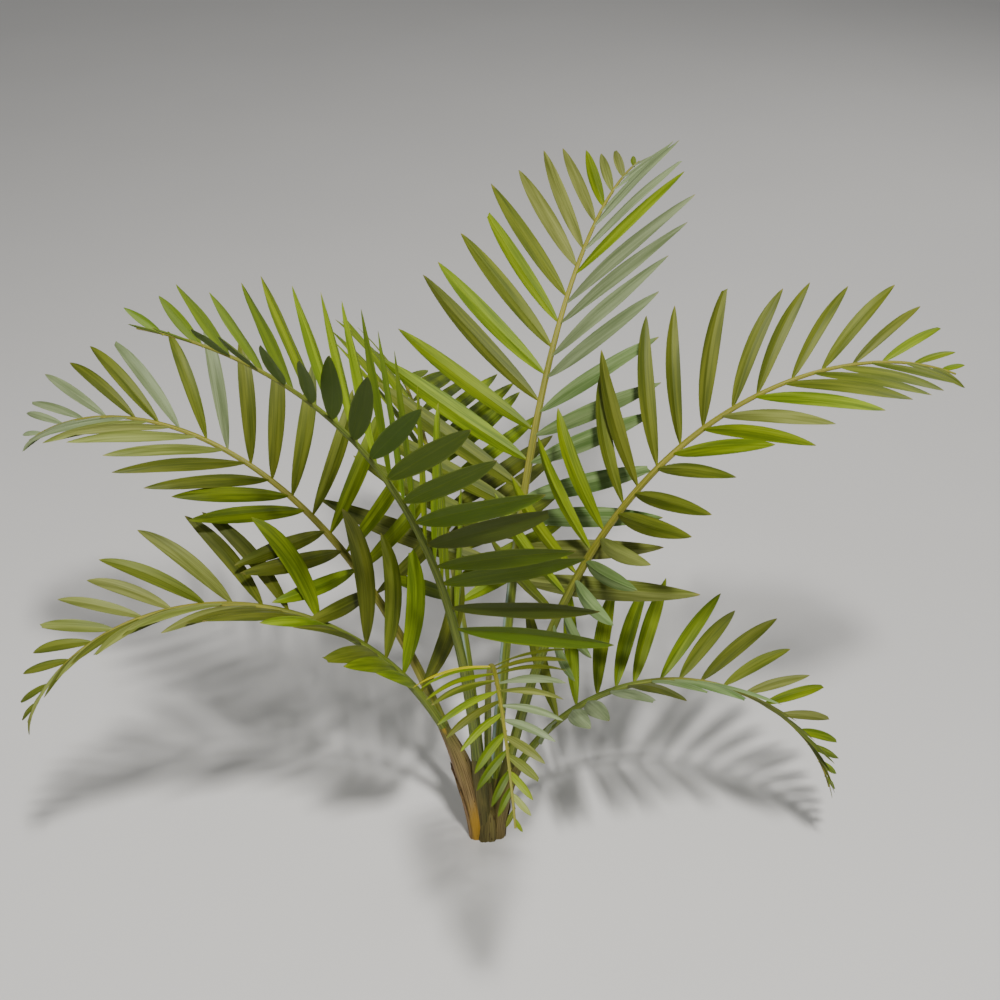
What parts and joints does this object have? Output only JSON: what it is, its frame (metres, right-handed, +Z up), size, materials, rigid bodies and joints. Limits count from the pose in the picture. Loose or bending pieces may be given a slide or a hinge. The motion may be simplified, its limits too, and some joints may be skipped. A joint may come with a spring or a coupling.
{
  "type": "alexandra palm",
  "caption": "Young alexandra palm rooted in the ground: a short foot with leaf sheaths, and feather fronds that arch out on bare stalks.",
  "frame": {"origin": "middle of the flat cut under the foot, at ground level", "axes": "+Z up; the picture is taken from the -Y side, with +X to its right"},
  "size_m": [1.6552, 1.3556, 1.2854],
  "materials": {
    "sheath": "fibrous leaf sheaths, tan and green with dark scars",
    "frond": "leathery leaflets and ribs, yellow green with a soft sheen"
  },
  "bodies": {
    "root": {"stem": "sheath", "frond_left_high_inner": "frond", "frond_left_high_outer": "frond", "frond_left_tall": "frond", "frond_back_tall": "frond", "frond_right_high_inner": "frond", "frond_right_high_outer": "frond", "frond_right_low_inner": "frond", "frond_right_low_outer": "frond", "frond_front_inner": "frond", "frond_front_outer": "frond", "frond_left_low_inner": "frond", "frond_left_low_outer": "frond", "frond_back_left_inner": "frond", "frond_back_left_outer": "frond"}
  },
  "joints": []
}
